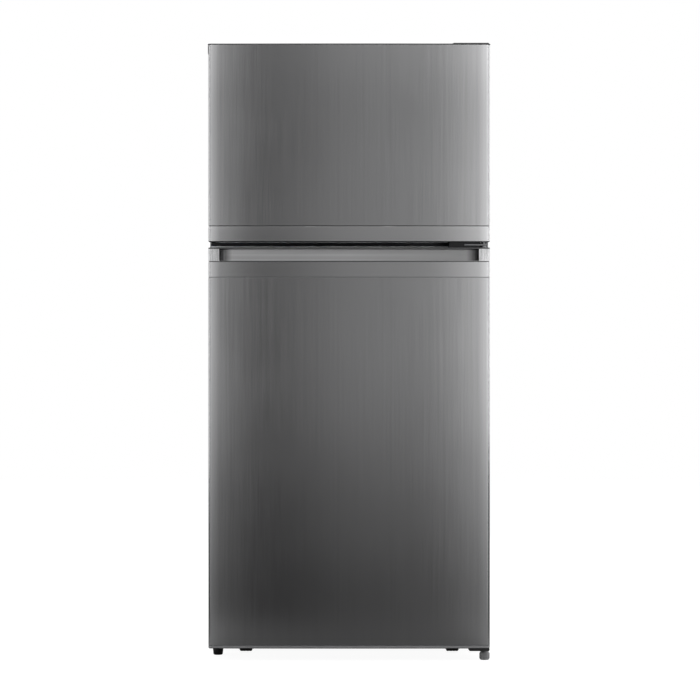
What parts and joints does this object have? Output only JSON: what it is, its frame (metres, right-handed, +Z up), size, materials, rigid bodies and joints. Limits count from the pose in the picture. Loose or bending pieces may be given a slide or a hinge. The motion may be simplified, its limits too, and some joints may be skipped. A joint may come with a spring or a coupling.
{
  "type": "top freezer refrigerator",
  "caption": "Free-standing refrigerator with a freezer door above a fridge door, pocket handle, shelves, drawers, door bins, levelling feet and rollers.",
  "frame": {"origin": "centre of the floor area, at floor level", "axes": "+Z up, -Y out of the doors' front faces, +X towards the hinges"},
  "size_m": [0.76, 0.768, 1.672],
  "materials": {
    "skin_steel": "satin",
    "trim_steel": "satin",
    "grey_paint": "satin",
    "zinc_steel": "satin",
    "black_paint": "satin",
    "aluminium": "satin",
    "white_plastic": "satin",
    "grey_plastic": "satin",
    "black_plastic": "satin",
    "clear_plastic": "gloss",
    "glass": "gloss",
    "gasket_rubber": "matte",
    "foam": "matte"
  },
  "bodies": {
    "cabinet": {"cabinet_shell": "grey_paint", "rear_panel": "zinc_steel", "base_deck": "zinc_steel", "cabinet_insulation": "foam", "freezer_liner": "white_plastic", "fridge_liner": "white_plastic", "mullion_rail": "grey_paint", "front_base_rail": "grey_paint", "compressor_tray": "zinc_steel", "compressor": "black_paint", "drain_pan": "black_plastic", "machine_cover": "black_paint", "power_inlet": "black_plastic", "evaporator": "aluminium", "evaporator_cover": "white_plastic", "fan_motor": "grey_plastic", "air_duct": "white_plastic", "control_housing": "white_plastic", "lamp_lens": "clear_plastic", "freezer_shelf": "white_plastic", "upper_shelf_frame": "grey_plastic", "upper_shelf_glass": "glass", "lower_shelf_frame": "grey_plastic", "lower_shelf_glass": "glass", "crisper_cover_frame": "grey_plastic", "crisper_cover_glass": "glass", "top_hinge": "zinc_steel", "top_hinge_cover": "black_plastic", "middle_hinge": "zinc_steel", "middle_hinge_cover": "black_plastic", "bottom_hinge": "black_paint", "left_foot_bracket": "zinc_steel"},
    "freezer_door": {"freezer_door_skin": "skin_steel", "freezer_door_top_cap": "black_plastic", "freezer_door_grip_trim": "trim_steel", "freezer_door_liner": "white_plastic", "freezer_door_insulation": "foam", "freezer_door_gasket": "gasket_rubber", "freezer_bin_lower": "clear_plastic", "freezer_bin_upper": "clear_plastic"},
    "fridge_door": {"fridge_door_skin": "skin_steel", "fridge_door_handle_trim": "trim_steel", "fridge_door_bottom_cap": "grey_plastic", "fridge_door_liner": "white_plastic", "fridge_door_insulation": "foam", "fridge_door_gasket": "gasket_rubber", "fridge_bin_bottom": "clear_plastic", "fridge_bin_middle": "clear_plastic", "fridge_bin_top": "clear_plastic"},
    "left_crisper": {"left_crisper": "clear_plastic"},
    "right_crisper": {"right_crisper": "clear_plastic"},
    "evaporator_fan": {"evaporator_fan": "grey_plastic"},
    "fridge_dial": {"fridge_dial": "white_plastic"},
    "freezer_dial": {"freezer_dial": "white_plastic"},
    "right_foot": {"right_foot": "grey_plastic"},
    "left_foot": {"left_foot": "black_plastic"},
    "front_left_roller": {"front_left_roller": "black_plastic"},
    "front_right_roller": {"front_right_roller": "black_plastic"},
    "rear_left_roller": {"rear_left_roller": "black_plastic"},
    "rear_right_roller": {"rear_right_roller": "black_plastic"}
  },
  "joints": [
    {"name": "freezer_door_hinge", "type": "hinge", "parent": "cabinet", "child": "freezer_door", "pos_m": [0.362, -0.357, 1.129], "axis": [0, 0, 1], "range_deg": [0, 135]},
    {"name": "fridge_door_hinge", "type": "hinge", "parent": "cabinet", "child": "fridge_door", "pos_m": [0.362, -0.357, 0.0345], "axis": [0, 0, 1], "range_deg": [0, 135]},
    {"name": "left_crisper_slide", "type": "slide", "parent": "cabinet", "child": "left_crisper", "axis": [0, -1, 0], "range_m": [0, 0.285]},
    {"name": "right_crisper_slide", "type": "slide", "parent": "cabinet", "child": "right_crisper", "axis": [0, -1, 0], "range_m": [0, 0.285]},
    {"name": "evaporator_fan_spin", "type": "hinge", "parent": "cabinet", "child": "evaporator_fan", "pos_m": [0, 0.2475, 1.49], "axis": [0, 1, 0], "continuous": true},
    {"name": "fridge_dial_turn", "type": "hinge", "parent": "cabinet", "child": "fridge_dial", "pos_m": [-0.065, -0.1253, 1.0725], "axis": [0, -1, 0], "range_deg": [0, 270]},
    {"name": "freezer_dial_turn", "type": "hinge", "parent": "cabinet", "child": "freezer_dial", "pos_m": [0.19, 0.2177, 1.555], "axis": [0, -1, 0], "range_deg": [0, 270]},
    {"name": "right_foot_screw", "type": "slide", "parent": "cabinet", "child": "right_foot", "axis": [0, 0, -1], "range_m": [0, 0.012]},
    {"name": "left_foot_screw", "type": "slide", "parent": "cabinet", "child": "left_foot", "axis": [0, 0, -1], "range_m": [0, 0.012]},
    {"name": "front_left_roller_spin", "type": "hinge", "parent": "cabinet", "child": "front_left_roller", "pos_m": [-0.286, -0.184, 0.018], "axis": [1, 0, 0], "continuous": true},
    {"name": "front_right_roller_spin", "type": "hinge", "parent": "cabinet", "child": "front_right_roller", "pos_m": [0.286, -0.184, 0.018], "axis": [1, 0, 0], "continuous": true},
    {"name": "rear_left_roller_spin", "type": "hinge", "parent": "cabinet", "child": "rear_left_roller", "pos_m": [-0.3, 0.33, 0.018], "axis": [1, 0, 0], "continuous": true},
    {"name": "rear_right_roller_spin", "type": "hinge", "parent": "cabinet", "child": "rear_right_roller", "pos_m": [0.3, 0.33, 0.018], "axis": [1, 0, 0], "continuous": true}
  ],
  "couplings": [
    {"joint": "left_crisper_slide", "follows": "fridge_door_hinge", "m_per_rad": 0.119},
    {"joint": "right_crisper_slide", "follows": "fridge_door_hinge", "m_per_rad": 0.119}
  ]
}
